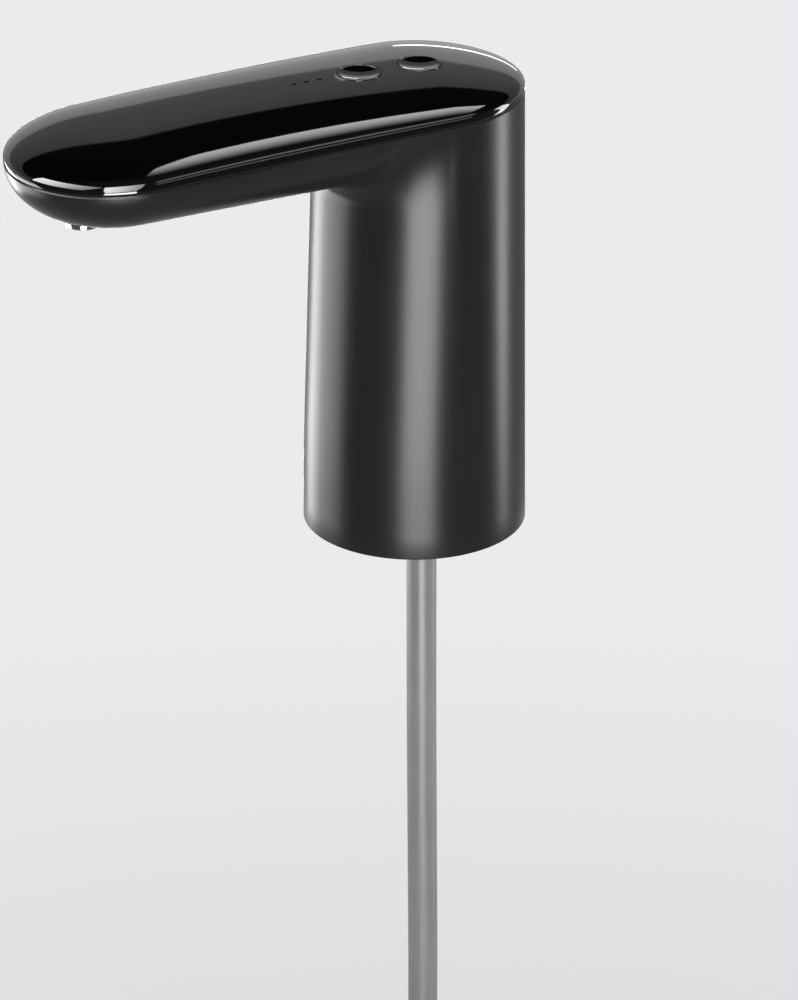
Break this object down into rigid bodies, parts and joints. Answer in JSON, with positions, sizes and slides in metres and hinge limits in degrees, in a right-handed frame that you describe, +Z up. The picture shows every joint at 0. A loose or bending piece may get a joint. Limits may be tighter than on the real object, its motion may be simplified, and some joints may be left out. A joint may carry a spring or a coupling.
{
  "type": "bottle water pump",
  "caption": "Electric pump for a large water bottle: an upright column, an arm with a spout under its tip, press buttons on top and a hanging hose.",
  "frame": {"origin": "on the column's axis, at the level of the seat that rests on the bottle neck", "axes": "+Z up the column, -X along the arm towards the spout, the charging port at +X"},
  "size_m": [0.1588, 0.066, 0.5609],
  "materials": {
    "battery_sleeve": "steel can in a blue shrink sleeve",
    "black_plastic": "fine moulded texture",
    "black_rubber": "soft moulded",
    "board_green": "lacquered circuit board",
    "bronze": "sintered",
    "clear_silicone": "milky extruded silicone",
    "copper": "plain",
    "ferrite": "pressed and fired",
    "gloss_black": "piano black",
    "grey_silicone": "grey extruded silicone",
    "indicator_lens": "clear moulded",
    "motor_steel": "plated sheet",
    "red_lead": "insulated lead",
    "satin_grey": "satin metallic lacquer on moulded plastic",
    "steel": "bright",
    "white_plastic": "plain moulded"
  },
  "bodies": {
    "root": {"base_cup": "black_plastic", "base_screw_1": "steel", "base_screw_2": "steel", "base_screw_3": "steel", "battery": "battery_sleeve", "battery_lead": "black_rubber", "battery_tray": "black_plastic", "board_screw_1": "steel", "board_screw_2": "steel", "brush_1": "copper", "brush_2": "copper", "charge_board": "board_green", "charge_lead": "red_lead", "charge_socket": "steel", "contact_minus": "steel", "contact_plus": "steel", "control_board": "board_green", "deck": "white_plastic", "deck_screw_1": "steel", "deck_screw_2": "steel", "diaphragm": "black_rubber", "drive_case": "white_plastic", "front_bush": "bronze", "hose": "grey_silicone", "hose_cuff": "grey_silicone", "housing": "satin_grey", "inlet_tube": "clear_silicone", "intake_foot": "black_plastic", "light_guide": "indicator_lens", "magnet_1": "ferrite", "magnet_2": "ferrite", "motor_can": "motor_steel", "motor_end_cap": "black_plastic", "motor_lead": "red_lead", "neck_gasket": "black_rubber", "outlet_tube": "clear_silicone", "pump_head": "white_plastic", "pump_screw_1": "steel", "pump_screw_2": "steel", "pump_screw_3": "steel", "rear_bush": "bronze", "seat_pad": "black_rubber", "spout_nozzle": "black_plastic", "spout_ring": "steel", "switch_1": "black_plastic", "switch_2": "black_plastic", "top_cover": "gloss_black", "valve_plate": "white_plastic", "valve_sheet": "black_rubber"},
    "power_button": {"power_button": "gloss_black", "switch_plunger_1": "white_plastic"},
    "dispense_button": {"dispense_button": "gloss_black", "switch_plunger_2": "white_plastic"},
    "drive": {"motor_shaft": "motor_steel", "eccentric": "white_plastic", "crank_pin": "steel", "rotor_core": "motor_steel", "commutator": "copper"},
    "wobble": {"wobble_plate": "white_plastic"},
    "port_flap": {"port_flap": "black_rubber"}
  },
  "joints": [
    {"name": "power_press", "type": "slide", "parent": "root", "child": "power_button", "axis": [0, 0, -1], "range_m": [0, 0.0006], "stiffness_N_per_m": 800, "springref_m": -0.0004},
    {"name": "dispense_press", "type": "slide", "parent": "root", "child": "dispense_button", "axis": [0, 0, -1], "range_m": [0, 0.0006], "stiffness_N_per_m": 800, "springref_m": -0.0004},
    {"name": "drive_spin", "type": "hinge", "parent": "root", "child": "drive", "pos_m": [0, -0.0135, 0.0514], "axis": [0, 0, 1], "continuous": true},
    {"name": "wobble_spin", "type": "hinge", "parent": "drive", "child": "wobble", "pos_m": [0, -0.0135, 0.0514], "axis": [0.1219, 0, 0.9925], "continuous": true},
    {"name": "flap_swing", "type": "hinge", "parent": "root", "child": "port_flap", "pos_m": [0.03238, 0, 0.0438], "axis": [0, 1, 0], "range_deg": [0, 110]}
  ],
  "couplings": [
    {"joint": "wobble_spin", "follows": "drive_spin", "ratio": -1}
  ]
}
